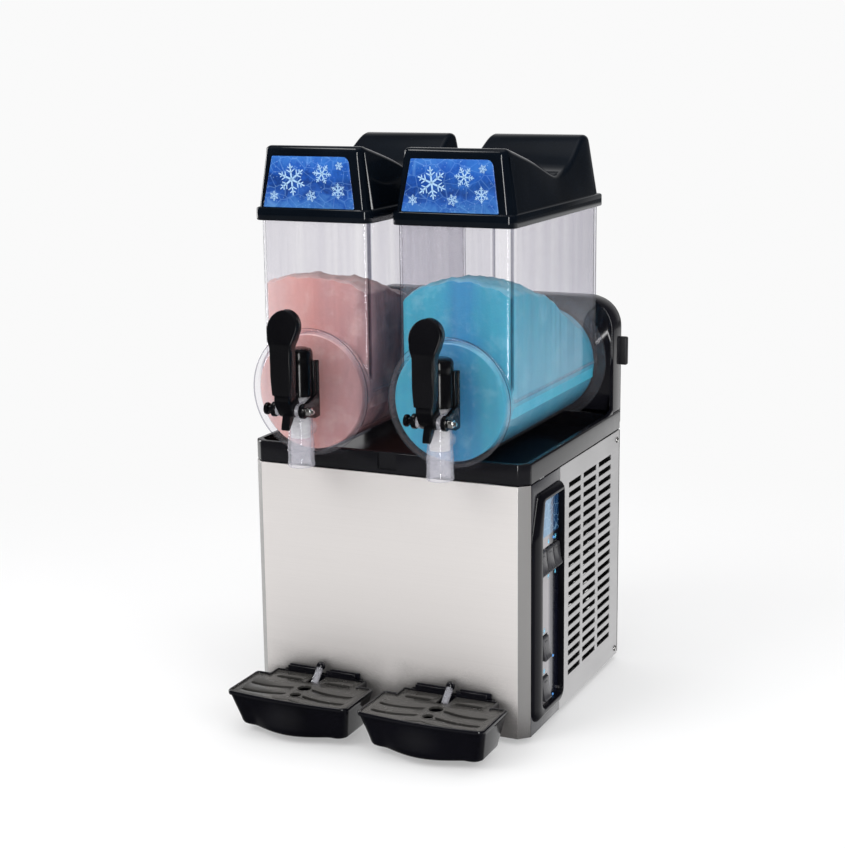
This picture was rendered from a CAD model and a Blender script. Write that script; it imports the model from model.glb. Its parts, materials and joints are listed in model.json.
import bpy, bmesh, math, json
from mathutils import Vector, Matrix, noise

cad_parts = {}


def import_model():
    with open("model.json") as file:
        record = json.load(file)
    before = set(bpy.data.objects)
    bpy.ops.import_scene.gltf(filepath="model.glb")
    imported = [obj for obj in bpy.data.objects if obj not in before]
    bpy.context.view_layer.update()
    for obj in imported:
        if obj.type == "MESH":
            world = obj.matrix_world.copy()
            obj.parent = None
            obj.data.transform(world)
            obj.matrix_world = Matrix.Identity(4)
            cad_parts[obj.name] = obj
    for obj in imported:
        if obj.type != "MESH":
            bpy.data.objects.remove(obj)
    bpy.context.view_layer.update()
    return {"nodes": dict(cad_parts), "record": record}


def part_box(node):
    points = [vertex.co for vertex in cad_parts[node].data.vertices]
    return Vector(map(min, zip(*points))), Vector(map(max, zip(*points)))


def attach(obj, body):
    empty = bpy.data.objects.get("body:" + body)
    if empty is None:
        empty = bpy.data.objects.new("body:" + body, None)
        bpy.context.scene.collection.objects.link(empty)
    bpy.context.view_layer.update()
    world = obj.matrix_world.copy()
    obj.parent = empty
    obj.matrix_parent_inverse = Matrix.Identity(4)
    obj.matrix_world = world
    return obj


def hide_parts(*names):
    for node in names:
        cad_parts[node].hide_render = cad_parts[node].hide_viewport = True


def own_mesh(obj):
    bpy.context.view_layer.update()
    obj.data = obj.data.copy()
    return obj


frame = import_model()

REC = frame["record"]
NODES = frame["nodes"]

# ------------------------------------------------------------------ frame
# Lengths below are millimetres from the cabinet's own corner marks: x = 0 in the middle, y = 0 on the
# front panel, z = 0 under the cabinet. The front panel's box says where that is in the row frame.
_flo, _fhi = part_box("front_panel")
OX, OY, OZ = (_flo.x + _fhi.x) / 2, _flo.y, _flo.z
HW = (_fhi.x - _flo.x) * 500


def W(p):
    return Vector((OX + p[0] / 1000, OY + p[1] / 1000, OZ + p[2] / 1000))


def mmbox(node):
    a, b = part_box(node)
    return [((a.x - OX) * 1000, (a.y - OY) * 1000, (a.z - OZ) * 1000), ((b.x - OX) * 1000, (b.y - OY) * 1000, (b.z - OZ) * 1000)]


JP = {}
for _j in REC["behaviour"]["joints"]:
    if "pos_m" in _j:
        _p = _j["pos_m"]
        JP[_j["name"]] = ((_p[0] - OX) * 1000, (_p[1] - OY) * 1000, (_p[2] - OZ) * 1000)
ZC = JP["auger_spin_right"][2]
SIDES = (("left", JP["auger_spin_left"][0]), ("right", JP["auger_spin_right"][0]))
SLOT = {s["node"]: s["material_slot"] for s in REC["subparts"]}

# ------------------------------------------------------------------ shader helpers


class Mat:
    def __init__(self, name):
        self.m = bpy.data.materials.new(name)
        self.m.use_nodes = True
        self.t = self.m.node_tree
        self.t.nodes.clear()
        self.out = self.n("ShaderNodeOutputMaterial")
        self._tc = None

    def n(self, kind, **kw):
        nd = self.t.nodes.new(kind)
        for k, v in kw.items():
            setattr(nd, k, v)
        return nd

    def l(self, a, b):
        self.t.links.new(a, b)

    def put(self, sock, v):
        if isinstance(v, bpy.types.NodeSocket):
            self.l(v, sock)
        elif isinstance(v, (tuple, list)) and len(v) == 3 and sock.type == "RGBA":
            sock.default_value = (*v, 1)
        else:
            sock.default_value = v

    def co(self, scale=(1, 1, 1), loc=(0, 0, 0)):
        if self._tc is None:
            self._tc = self.n("ShaderNodeTexCoord")
        mp = self.n("ShaderNodeMapping")
        mp.inputs["Scale"].default_value = scale
        mp.inputs["Location"].default_value = loc
        self.l(self._tc.outputs["Object"], mp.inputs["Vector"])
        return mp.outputs[0]

    def xyz(self):
        s = self.n("ShaderNodeSeparateXYZ")
        self.l(self.co(), s.inputs[0])
        return s.outputs

    def noise(self, vec, scale=10, detail=3, rough=0.5, dist=0.0):
        nd = self.n("ShaderNodeTexNoise")
        self.put(nd.inputs["Vector"], vec)
        nd.inputs["Scale"].default_value = scale
        nd.inputs["Detail"].default_value = detail
        nd.inputs["Roughness"].default_value = rough
        nd.inputs["Distortion"].default_value = dist
        return nd.outputs["Fac"]

    def voro(self, vec, scale=10, feature="F1", out="Distance", rand=1.0):
        nd = self.n("ShaderNodeTexVoronoi", feature=feature)
        self.put(nd.inputs["Vector"], vec)
        nd.inputs["Scale"].default_value = scale
        nd.inputs["Randomness"].default_value = rand
        return nd.outputs[out]

    def rng(self, v, a, b, c, d, smooth=False):
        nd = self.n("ShaderNodeMapRange")
        nd.interpolation_type = "SMOOTHSTEP" if smooth else "LINEAR"
        self.put(nd.inputs[0], v)
        for i, x in enumerate((a, b, c, d)):
            self.put(nd.inputs[i + 1], x)
        return nd.outputs[0]

    def math(self, op, a, b=0.0, clamp=False):
        nd = self.n("ShaderNodeMath", operation=op)
        nd.use_clamp = clamp
        self.put(nd.inputs[0], a)
        self.put(nd.inputs[1], b)
        return nd.outputs[0]

    def mix(self, f, a, b, blend="MIX"):
        nd = self.n("ShaderNodeMix", data_type="RGBA", blend_type=blend)
        self.put(nd.inputs[0], f)
        self.put(nd.inputs[6], (*a, 1) if isinstance(a, tuple) and len(a) == 3 else a)
        self.put(nd.inputs[7], (*b, 1) if isinstance(b, tuple) and len(b) == 3 else b)
        return nd.outputs[2]

    def ramp(self, f, stops, interp="LINEAR"):
        nd = self.n("ShaderNodeValToRGB")
        nd.color_ramp.interpolation = interp
        e = nd.color_ramp.elements
        while len(e) < len(stops):
            e.new(0.5)
        for i, (p, c) in enumerate(stops):
            e[i].position = p
            e[i].color = (*c, 1) if len(c) == 3 else c
        self.put(nd.inputs[0], f)
        return nd.outputs[0]

    def bump(self, h, strength=0.1, dist=0.001, normal=None):
        nd = self.n("ShaderNodeBump")
        nd.inputs["Strength"].default_value = strength
        nd.inputs["Distance"].default_value = dist
        self.put(nd.inputs["Height"], h)
        if normal is not None:
            self.l(normal, nd.inputs["Normal"])
        return nd.outputs[0]

    def bsdf(self, color=(0.5, 0.5, 0.5), rough=0.4, metal=0.0, normal=None, **kw):
        nd = self.n("ShaderNodeBsdfPrincipled")
        self.put(nd.inputs["Base Color"], color)
        self.put(nd.inputs["Roughness"], rough)
        self.put(nd.inputs["Metallic"], metal)
        if normal is not None:
            self.l(normal, nd.inputs["Normal"])
        for k, v in kw.items():
            self.put(nd.inputs[k.replace("_", " ")], v)
        return nd

    def done(self, shader):
        self.l(shader.outputs[0] if hasattr(shader, "outputs") else shader, self.out.inputs[0])
        return self.m


def plastic(name, col, rough=0.2, peel=0.04, peel_scale=700, var=0.25, coat=0.0, grain=0.0, worn=0.0, spec=0.4):
    """Moulded plastic: slow colour drift, orange peel, handling marks in the roughness, slightly paler worn edges."""
    k = Mat(name)
    slow = k.noise(k.co(), 9, 4, 0.6)
    fine = k.noise(k.co(), peel_scale, 2, 0.5)
    smear = k.noise(k.co((1, 1, 0.35)), 38, 5, 0.65, 0.4)
    c = k.mix(k.rng(slow, 0.3, 0.7, 0, 1), tuple(x * (1 - var) for x in col), tuple(min(1, x * (1 + var) + 0.001) for x in col))
    if worn:
        geo = k.n("ShaderNodeNewGeometry")
        edge = k.rng(geo.outputs["Pointiness"], 0.53, 0.62, 0, worn)
        c = k.mix(edge, c, (0.16, 0.16, 0.17))
    r = k.rng(smear, 0.35, 0.75, max(0.03, rough * 0.82), rough * 1.3)
    nrm = k.bump(fine, peel, 0.0004)
    if grain:
        nrm = k.bump(k.voro(k.co(), 1500, "F1"), grain, 0.0003, nrm)
    return k.done(k.bsdf(c, r, 0, nrm, Coat_Weight=coat, Coat_Roughness=0.06, Specular_IOR_Level=spec))


def steel(name, col=(0.78, 0.77, 0.755), stretch=(3, 3, 900), rough=0.27, strength=0.05, metal=1.0, corner=0.0, near=0.0):
    """Brushed sheet steel: grain as stretched noise in colour, roughness and bump, with faint smudges."""
    k = Mat(name)
    g = k.noise(k.co(stretch), 1.0, 5, 0.6)
    g2 = k.noise(k.co(tuple(s * 0.31 for s in stretch), (3.1, 1.7, 9.2)), 1.0, 3, 0.5)
    sm = k.noise(k.co(), 11, 4, 0.55)
    c = k.mix(k.rng(g, 0.3, 0.7, 0, 1), tuple(x * 0.975 for x in col), tuple(min(1, x * 1.015) for x in col))
    c = k.mix(k.rng(sm, 0.4, 0.75, 0, 0.2), c, tuple(x * 0.95 for x in col))
    r = k.math("ADD", k.rng(g2, 0.3, 0.7, rough - 0.03, rough + 0.03), k.rng(sm, 0.4, 0.7, 0, 0.04))
    if corner:
        gn = k.n("ShaderNodeNewGeometry")
        sn = k.n("ShaderNodeSeparateXYZ")
        k.l(gn.outputs["True Normal"], sn.inputs[0])
        ax = k.math("ABSOLUTE", k.math("MULTIPLY", sn.outputs[0], sn.outputs[1]))
        c = k.mix(k.rng(ax, 0.30, 0.45, 0, corner), c, (0.20, 0.20, 0.20))
    if near:
        # the polished sheet picks up whatever black part hangs close in front of it
        ao = k.n("ShaderNodeAmbientOcclusion", samples=8)
        ao.inputs["Distance"].default_value = near
        c = k.mix(k.rng(ao.outputs["AO"], 0.42, 0.76, 0.93, 0.0, True), c, tuple(x * 0.12 for x in col))
    return k.done(k.bsdf(c, r, metal, k.bump(g, strength, 0.0002)))


MATS = {}


def build_materials():
    M = MATS
    M["stainless"] = steel("stainless_sheet", (0.90, 0.862, 0.84), (2.2, 2.2, 1500), 0.34, 0.012, 0.34, 0.80, 0.075)
    M["stainless_side"] = steel("stainless_side", (0.57, 0.565, 0.57), (2.2, 2.2, 1500), 0.38, 0.012, 0.8)
    M["drum_steel"] = steel("drum_steel", (0.75, 0.76, 0.78), (700, 4, 700), 0.22)
    M["screw_steel"] = steel("screw_steel", (0.8, 0.79, 0.77), (160, 160, 160), 0.16)
    M["rubber_black"] = plastic("rubber_black", (0.022, 0.022, 0.024), 0.78, 0.25, 900, 0.3, grain=0.3)
    M["black_satin"] = plastic("satin_black", (0.018, 0.018, 0.02), 0.42, 0.2, 1500, 0.25, grain=0.25)
    M["black_gloss"] = plastic("gloss_black", (0.006, 0.006, 0.009), 0.14, 0.03, 500, 0.3, spec=0.3)
    M["deck_black"] = plastic("deck_black", (0.007, 0.007, 0.009), 0.16, 0.04, 500, 0.2, spec=0.42)
    M["column_dark"] = plastic("column_dark", (0.020, 0.020, 0.026), 0.18, 0.03, 450, 0.25, spec=0.6)
    M["lid_black"] = plastic("lid_black", (0.0018, 0.0035, 0.0065), 0.08, 0.02, 420, 0.3, spec=0.3)
    M["tap_black"] = plastic("tap_black", (0.003, 0.003, 0.004), 0.15, 0.04, 600, 0.3, spec=0.24)
    M["tray_black"] = plastic("tray_black", (0.003, 0.003, 0.005), 0.12, 0.04, 520, 0.3, spec=0.5)
    M["grate_black"] = plastic("grate_black", (0.050, 0.048, 0.045), 0.24, 0.05, 520, 0.15, spec=0.5)
    M["bezel_black"] = plastic("bezel_black", (0.004, 0.004, 0.006), 0.13, 0.03, 500, 0.3, spec=0.16)
    M["louvre_dark"] = plastic("louvre_dark", (0.010, 0.010, 0.010), 0.5, 0.15, 900, 0.3, spec=0.2)
    M["rocker_dark"] = plastic("rocker_dark", (0.045, 0.045, 0.05), 0.25, 0.05, 900, 0.2)
    M["compressor_black"] = plastic("compressor_enamel", (0.015, 0.015, 0.017), 0.35, 0.15, 260, 0.3)
    M["motor_metal"] = steel("motor_cast", (0.42, 0.43, 0.45), (190, 190, 190), 0.45, 0.2)
    M["auger_white"] = plastic("auger_white", (0.78, 0.78, 0.75), 0.32, 0.05, 500, 0.04)
    M["fan_plastic"] = plastic("fan_grey", (0.5, 0.5, 0.52), 0.4, 0.1, 700, 0.06)
    # galvanised sheet with zinc flowers
    k = Mat("galvanised")
    sp = k.voro(k.co(), 110, "F1", "Color")
    bw = k.n("ShaderNodeRGBToBW"); k.l(sp, bw.inputs[0])
    k_c = k.mix(bw.outputs[0], (0.52, 0.54, 0.56), (0.68, 0.69, 0.70))
    M["galvanised"] = k.done(k.bsdf(k_c, k.rng(bw.outputs[0], 0, 1, 0.34, 0.5), 0.9, k.bump(k.noise(k.co(), 600, 3), 0.08, 0.0003)))
    # copper tube, slightly tarnished
    k = Mat("copper")
    t = k.noise(k.co(), 42, 5, 0.6)
    M["copper"] = k.done(k.bsdf(k.ramp(t, [(0.3, (0.30, 0.12, 0.06)), (0.55, (0.66, 0.31, 0.17)), (0.8, (0.80, 0.45, 0.28))]), k.rng(t, 0.3, 0.7, 0.42, 0.22), 1.0, k.bump(k.noise(k.co(), 900, 2), 0.05, 0.0002)))
    k = Mat("condenser_fins")
    t = k.noise(k.co((1, 1, 0.2)), 60, 4, 0.6)
    M["copper_fins"] = k.done(k.bsdf(k.mix(t, (0.55, 0.50, 0.42), (0.74, 0.72, 0.68)), k.rng(t, 0.3, 0.7, 0.3, 0.5), 0.9, k.bump(k.noise(k.co((1, 900, 1)), 3, 2), 0.15, 0.0004)))
    # lit blue lamp
    k = Mat("lamp_blue")
    f = k.noise(k.co(), 900, 2)
    b = k.bsdf(k.mix(f, (0.05, 0.18, 0.5), (0.12, 0.32, 0.62)), 0.12, 0)
    b.inputs["Emission Color"].default_value = (0.12, 0.42, 1.0, 1)
    b.inputs["Emission Strength"].default_value = 0.35
    M["lamp_blue"] = k.done(b)
    M["bowl_clear"] = clear_plastic("bowl_clear")
    M["spout_clear"] = clear_plastic("spout_clear", 0.16)
    M["bowl_edge"] = clear_plastic("bowl_edge", 0.004, (0.52, 0.52, 0.56), (0.12, 0.12, 0.15), 0.45)
    M["slush_blue"] = slush_mat("slush_blue", "right")
    M["slush_pink"] = slush_mat("slush_pink", "left")
    M["sign_ice"] = sign_mat()
    M["display_graphic"] = display_mat()
    k = Mat("icon_print")
    f = k.noise(k.co(), 400, 2)
    b = k.bsdf(k.mix(f, (0.10, 0.42, 0.62), (0.16, 0.55, 0.75)), 0.3, 0)
    b.inputs["Emission Color"].default_value = (0.1, 0.42, 0.65, 1)
    b.inputs["Emission Strength"].default_value = 0.25
    M["icon_print"] = k.done(b)
    k = Mat("flake_print")
    f = k.noise(k.co(), 260, 3)
    M["flake_print"] = k.done(k.bsdf(k.mix(f, (0.24, 0.46, 0.74), (0.50, 0.70, 0.90)), 0.2, 0, k.bump(f, 0.1, 0.0003)))


def clear_plastic(name, milk=0.022, body=(0.992, 0.988, 0.994), edge=(0.42, 0.41, 0.48), gloss=0.44):
    """Clear polycarbonate as a thin film: see-through, mirror by angle, a faint milky body, darker rims."""
    k = Mat(name)
    fr = k.n("ShaderNodeFresnel")
    gb = k.n("ShaderNodeNewGeometry")
    k.put(fr.inputs["IOR"], k.rng(gb.outputs["Backfacing"], 0, 1, 1.46, 1 / 1.46))
    lw = k.n("ShaderNodeLayerWeight")
    lw.inputs["Blend"].default_value = 0.35
    wave = k.noise(k.co((1, 1, 0.6)), 22, 2, 0.4)
    nrm = k.bump(wave, 0.02, 0.002)
    k.l(nrm, fr.inputs["Normal"])
    tint = k.mix(k.rng(lw.outputs["Facing"], 0.35, 1.0, 0, 1, True), body, edge)
    streak = k.noise(k.co((1, 1, 0.03)), 62, 4, 0.62)
    tint = k.mix(k.rng(streak, 0.30, 0.72, 0.0, 1.0, True), tint, k.mix(1.0, tint, (0.95, 0.947, 0.96), "MULTIPLY"))
    tr = k.n("ShaderNodeBsdfTransparent"); k.put(tr.inputs[0], tint)
    gl = k.n("ShaderNodeBsdfGlossy"); gl.inputs["Roughness"].default_value = 0.045
    gl.inputs["Color"].default_value = (0.97, 0.97, 1, 1)
    k.l(nrm, gl.inputs["Normal"])
    df = k.n("ShaderNodeBsdfDiffuse"); df.inputs["Color"].default_value = (0.80, 0.80, 0.86, 1)
    m1 = k.n("ShaderNodeMixShader"); scr = k.noise(k.co((1, 1, 2.2)), 130, 5, 0.7, 0.6)
    k.put(m1.inputs[0], k.rng(scr, 0.35, 0.8, milk, milk * 2.2))
    k.l(tr.outputs[0], m1.inputs[1]); k.l(df.outputs[0], m1.inputs[2])
    m2 = k.n("ShaderNodeMixShader")
    k.put(m2.inputs[0], k.math("MULTIPLY", fr.outputs[0], gloss, True))
    k.l(m1.outputs[0], m2.inputs[1]); k.l(gl.outputs[0], m2.inputs[2])
    return k.done(m2)


def slush_mat(name, side):
    cx = dict(SIDES)[side] / 1000
    k = Mat(name)
    x, y, z = k.xyz()[0], k.xyz()[1], k.xyz()[2]
    u = k.math("SUBTRACT", x, cx + OX)
    wob = k.noise(k.co((1, 1, 0.35)), 16, 4, 0.6, 0.5)
    uu = k.math("ADD", u, k.rng(wob, 0.3, 0.7, -0.02, 0.02))
    if side == "right":
        c = k.ramp(k.rng(uu, -0.078, 0.078, 0, 1), [(0.0, (0.010, 0.36, 0.50)), (0.22, (0.008, 0.37, 0.53)), (0.47, (0.004, 0.25, 0.50)), (0.60, (0.005, 0.27, 0.52)), (0.80, (0.010, 0.35, 0.51)), (1.0, (0.016, 0.39, 0.54))])
        pale = (0.36, 0.70, 0.82)
        deep = (0.005, 0.200, 0.500)
    else:
        c = k.ramp(k.rng(uu, -0.078, 0.078, 0, 1), [(0.0, (0.84, 0.63, 0.60)), (0.22, (0.76, 0.44, 0.40)), (0.5, (0.68, 0.32, 0.285)), (0.78, (0.56, 0.30, 0.29)), (1.0, (0.20, 0.11, 0.13))])
        pale = (0.90, 0.74, 0.71)
        deep = (0.66, 0.26, 0.23)
    ice = k.voro(k.co(), 300, "F1")
    cl = k.noise(k.co(), 34, 6, 0.65, 0.3)
    c = k.mix(k.rng(cl, 0.50, 0.80, 0, 0.35), c, pale)
    c = k.mix(k.rng(cl, 0.42, 0.20, 0, 0.30), c, deep)
    # frost on faces that look up
    gn = k.n("ShaderNodeNewGeometry")
    sn = k.n("ShaderNodeSeparateXYZ")
    k.l(gn.outputs["Normal"], sn.inputs[0])
    top = k.rng(sn.outputs[2], 0.25, 0.85, 0, 0.55, True)
    c = k.mix(k.math("MULTIPLY", top, k.rng(k.noise(k.co(), 60, 4, 0.6), 0.35, 0.65, 0.5, 1.0)), c, pale)
    h = k.math("ADD", k.math("MULTIPLY", ice, 0.4), cl)
    b = k.bsdf(c, k.rng(cl, 0.3, 0.7, 0.30, 0.5), 0, k.bump(h, 0.25, 0.0015))
    k.l(c, b.inputs["Emission Color"])
    b.inputs["Emission Strength"].default_value = 0.06
    b.inputs["Subsurface Weight"].default_value = 0.25
    b.inputs["Subsurface Radius"].default_value = (0.4, 0.5, 0.9) if side == "right" else (0.9, 0.45, 0.35)
    b.inputs["Subsurface Scale"].default_value = 0.006
    return k.done(b)


def sign_mat():
    """Printed ice: deep blue with darker drifts, fine frost specks, pale frost along the lower edge."""
    k = Mat("sign_ice")
    z = k.xyz()[2]
    v = k.rng(z, OZ + 0.668, OZ + 0.732, 0, 1)
    wob = k.noise(k.co((1, 1, 1)), 42, 5, 0.7, 1.2)
    vv = k.math("ADD", v, k.rng(wob, 0.3, 0.7, -0.25, 0.25))
    c = k.ramp(vv, [(0.0, (0.05, 0.18, 0.48)), (0.25, (0.016, 0.085, 0.38)), (0.5, (0.008, 0.040, 0.20)), (0.75, (0.014, 0.080, 0.38)), (1.0, (0.03, 0.14, 0.46))])
    crack = k.voro(k.co((1, 1, 1.25)), 62, "DISTANCE_TO_EDGE")
    c = k.mix(k.rng(crack, 0.0, 0.045, 0.30, 0.0), c, (0.20, 0.42, 0.78))
    glow = k.rng(k.noise(k.co((0.7, 1, 1), (5, 0, 1)), 26, 3, 0.6), 0.5, 0.75, 0, 0.5)
    c = k.mix(glow, c, (0.025, 0.14, 0.50))
    speck = k.voro(k.co((1, 1, 1), (1, 2, 3)), 210, "F1")
    c = k.mix(k.rng(speck, 0.0, 0.16, 0.65, 0.0), c, (0.42, 0.66, 0.92))
    b = k.bsdf(c, 0.16, 0, k.bump(crack, 0.08, 0.0004), Specular_IOR_Level=0.35)
    b.inputs["Emission Strength"].default_value = 0.04
    k.l(c, b.inputs["Emission Color"])
    return k.done(b)


def display_mat():
    """Front film of the control panel: ice picture in the upper part, grey field, dark strip along the rear edge."""
    k = Mat("display_film")
    o = k.xyz()
    y = k.rng(o[1], OY + 0.0352, OY + 0.1118, 0, 1)
    z = o[2]
    base = k.ramp(y, [(0.0, (0.26, 0.25, 0.265)), (0.50, (0.30, 0.285, 0.30)), (0.60, (0.055, 0.055, 0.075)), (0.66, (0.008, 0.009, 0.018)), (1.0, (0.003, 0.004, 0.010))])
    wob = k.noise(k.co((1, 1, 1)), 55, 5, 0.7, 0.9)
    yy = k.math("ADD", y, k.rng(wob, 0.3, 0.7, -0.05, 0.05))
    pic = k.ramp(yy, [(0.0, (0.80, 0.86, 0.93)), (0.24, (0.72, 0.82, 0.93)), (0.28, (0.09, 0.22, 0.38)), (0.55, (0.11, 0.27, 0.44)), (0.66, (0.012, 0.05, 0.13)), (0.9, (0.010, 0.05, 0.14)), (1.0, (0.004, 0.010, 0.03))])
    ck = k.voro(k.co(), 95, "DISTANCE_TO_EDGE")
    pic = k.mix(k.rng(ck, 0.0, 0.07, 0.4, 0.0), pic, (0.30, 0.52, 0.72))
    inpic = k.rng(z, OZ + 0.2525, OZ + 0.2545, 0, 1)
    c = k.mix(inpic, base, pic)
    fine = k.noise(k.co(), 700, 2)
    return k.done(k.bsdf(c, k.rng(k.noise(k.co(), 30, 4), 0.3, 0.7, 0.14, 0.22), 0, k.bump(fine, 0.02, 0.0003), Coat_Weight=0.4, Coat_Roughness=0.05))


# ------------------------------------------------------------------ mesh helpers
COL = bpy.context.scene.collection


def obj(name, verts, faces):
    me = bpy.data.meshes.new(name)
    me.from_pydata([W(v) for v in verts], [], faces)
    me.update()
    o = bpy.data.objects.new(name, me)
    COL.objects.link(o)
    clean(o)
    return o


def clean(o, merge=1e-6):
    bm = bmesh.new()
    bm.from_mesh(o.data)
    bmesh.ops.remove_doubles(bm, verts=bm.verts, dist=merge)
    bmesh.ops.recalc_face_normals(bm, faces=bm.faces)
    bm.to_mesh(o.data)
    bm.free()
    o.data.update()


def bake(o):
    bpy.context.view_layer.update()
    dg = bpy.context.evaluated_depsgraph_get()
    me = bpy.data.meshes.new_from_object(o.evaluated_get(dg))
    old = o.data
    o.modifiers.clear()
    o.data = me
    bpy.data.meshes.remove(old)
    return o


def bevel(o, width, seg=3, angle=30, profile=0.5):
    m = o.modifiers.new("bevel", "BEVEL")
    m.width = width / 1000
    m.segments = seg
    m.limit_method = "ANGLE"
    m.angle_limit = math.radians(angle)
    m.profile = profile
    m.use_clamp_overlap = True
    m.miter_outer = "MITER_ARC"
    return bake(o)


def boolean(a, b, op="DIFFERENCE", keep=False):
    m = a.modifiers.new("bool", "BOOLEAN")
    m.operation = op
    m.object = b
    m.solver = "EXACT"
    bake(a)
    if not keep:
        bpy.data.objects.remove(b)
    return a


def shade(o, angle=32):
    """Smooth faces with sharp edges where the surface turns by more than angle."""
    bm = bmesh.new()
    bm.from_mesh(o.data)
    lim = math.radians(angle)
    for f in bm.faces:
        f.smooth = True
    for e in bm.edges:
        e.smooth = not (len(e.link_faces) == 2 and e.calc_face_angle(0) > lim) if len(e.link_faces) == 2 else True
    bm.to_mesh(o.data)
    bm.free()
    return o


def join(objs, name=None):
    base = objs[0]
    bm = bmesh.new()
    for i, o in enumerate(objs):
        bm.from_mesh(o.data)
    bm.to_mesh(base.data)
    bm.free()
    for o in objs[1:]:
        bpy.data.objects.remove(o)
    if name:
        base.name = name
    return base


def finish_piece(o, mat, body, rep=(), angle=32):
    shade(o, angle)
    o.data.materials.clear()
    o.data.materials.append(mat if isinstance(mat, bpy.types.Material) else MATS[mat])
    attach(o, body)
    if rep:
        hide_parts(*rep)
    return o


def prism(name, poly, axis, a0, a1):
    n = len(poly)
    vs = []
    for a in (a0, a1):
        for p in poly:
            vs.append({"x": (a, p[0], p[1]), "y": (p[0], a, p[1]), "z": (p[0], p[1], a)}[axis])
    fs = [tuple(range(n)), tuple(range(2 * n - 1, n - 1, -1))]
    fs += [(i, (i + 1) % n, n + (i + 1) % n, n + i) for i in range(n)]
    return obj(name, vs, fs)


def rbox(name, x0, x1, y0, y1, z0, z1, r=1.0, seg=3):
    o = prism(name, [(x0, y0), (x1, y0), (x1, y1), (x0, y1)], "z", z0, z1)
    return bevel(o, r, seg) if r else o


def arc(cx, cy, r, a0, a1, n):
    return [(cx + r * math.cos(math.radians(a0 + (a1 - a0) * i / n)), cy + r * math.sin(math.radians(a0 + (a1 - a0) * i / n))) for i in range(n + 1)]


def rrect(x0, x1, y0, y1, r, n=8):
    return (arc(x1 - r, y0 + r, r, -90, 0, n) + arc(x1 - r, y1 - r, r, 0, 90, n) + arc(x0 + r, y1 - r, r, 90, 180, n) + arc(x0 + r, y0 + r, r, 180, 270, n))


def roundpoly(pts, radii, n=6):
    """Closed polygon with each corner rounded by its radius, n + 1 points a corner."""
    out = []
    N = len(pts)
    for i in range(N):
        p, a, b = Vector(pts[i]), Vector(pts[i - 1]), Vector(pts[(i + 1) % N])
        u, v = (a - p).normalized(), (b - p).normalized()
        half = math.acos(max(-1, min(1, u.dot(v)))) / 2
        r = radii[i]
        d = r / math.tan(half) if half > 1e-3 else 0
        c = p + (u + v).normalized() * (r / math.sin(half))
        s, e = p + u * d, p + v * d
        a0, a1 = math.atan2(s.y - c.y, s.x - c.x), math.atan2(e.y - c.y, e.x - c.x)
        while a1 - a0 > math.pi:
            a1 -= 2 * math.pi
        while a1 - a0 < -math.pi:
            a1 += 2 * math.pi
        for k in range(n + 1):
            t = a0 + (a1 - a0) * k / n
            out.append((c.x + r * math.cos(t), c.y + r * math.sin(t)))
    return out


def loft(name, rings, cap0=True, cap1=True, closed=True):
    n = len(rings[0])
    vs = [p for r in rings for p in r]
    fs = []
    for i in range(len(rings) - 1):
        for k in range(n if closed else n - 1):
            a, b = i * n + k, i * n + (k + 1) % n
            fs.append((a, b, b + n, a + n))
    if cap0:
        fs.append(tuple(range(n - 1, -1, -1)))
    if cap1:
        fs.append(tuple(range((len(rings) - 1) * n, len(rings) * n)))
    return obj(name, vs, fs)


def lathe(name, prof, axis, c, n=48, closed=False):
    """prof: (radius, height) pairs; axis x, y or z through c. Ends with radius 0 close by merging."""
    rings = []
    for r, h in prof:
        ring = []
        for i in range(n):
            a = 2 * math.pi * i / n
            u, v = r * math.cos(a), r * math.sin(a)
            ring.append({"x": (c[0] + h, c[1] + u, c[2] + v), "y": (c[0] + u, c[1] + h, c[2] + v), "z": (c[0] + u, c[1] + v, c[2] + h)}[axis])
        rings.append(ring)
    if closed:
        rings.append(rings[0])
        return loft(name, rings, False, False)
    return loft(name, rings, prof[0][0] > 1e-6, prof[-1][0] > 1e-6)


def cyl(name, r, axis, c, h0, h1, n=48):
    return lathe(name, [(r, h0), (r, h1)], axis, c, n)


def tube(name, pts, r, n=12):
    """Round tube along a path of points."""
    P = [Vector(p) for p in pts]
    rings = []
    up = Vector((0, 0, 1))
    for i, p in enumerate(P):
        d = (P[min(i + 1, len(P) - 1)] - P[max(i - 1, 0)]).normalized()
        s = d.cross(up)
        if s.length < 1e-3:
            s = d.cross(Vector((0, 1, 0)))
        s.normalize()
        t = s.cross(d).normalized()
        up = t
        rings.append([tuple(p + s * (r * math.cos(2 * math.pi * k / n)) + t * (r * math.sin(2 * math.pi * k / n))) for k in range(n)])
    return loft(name, rings)


build_materials()

# ------------------------------------------------------------------ cabinet sheet metal


def front_panel():
    C = 13.0
    t = 1.2
    out = [(-HW, C), (-HW + C, 0), (HW - C, 0), (HW, C)]
    inn = [(HW - t, C), (HW - C - 0.5, t), (-HW + C + 0.5, t), (-HW + t, C)]
    o = prism("front_skin", out + inn, "z", 0.3, 332.6)
    bevel(o, 0.9, 3, 25)
    # folded hem under the deck and along the floor
    h1 = rbox("hem_a", -HW + C + 1, HW - C - 1, 1.2, 9, 329.8, 331.0, 0.4, 2)
    h2 = rbox("hem_b", -HW + C + 1, HW - C - 1, 1.2, 9, 12.4, 13.4, 0.4, 2)
    join([o, h1, h2])
    finish_piece(o, "stainless", "cabinet", ["front_panel"], 25)


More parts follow.
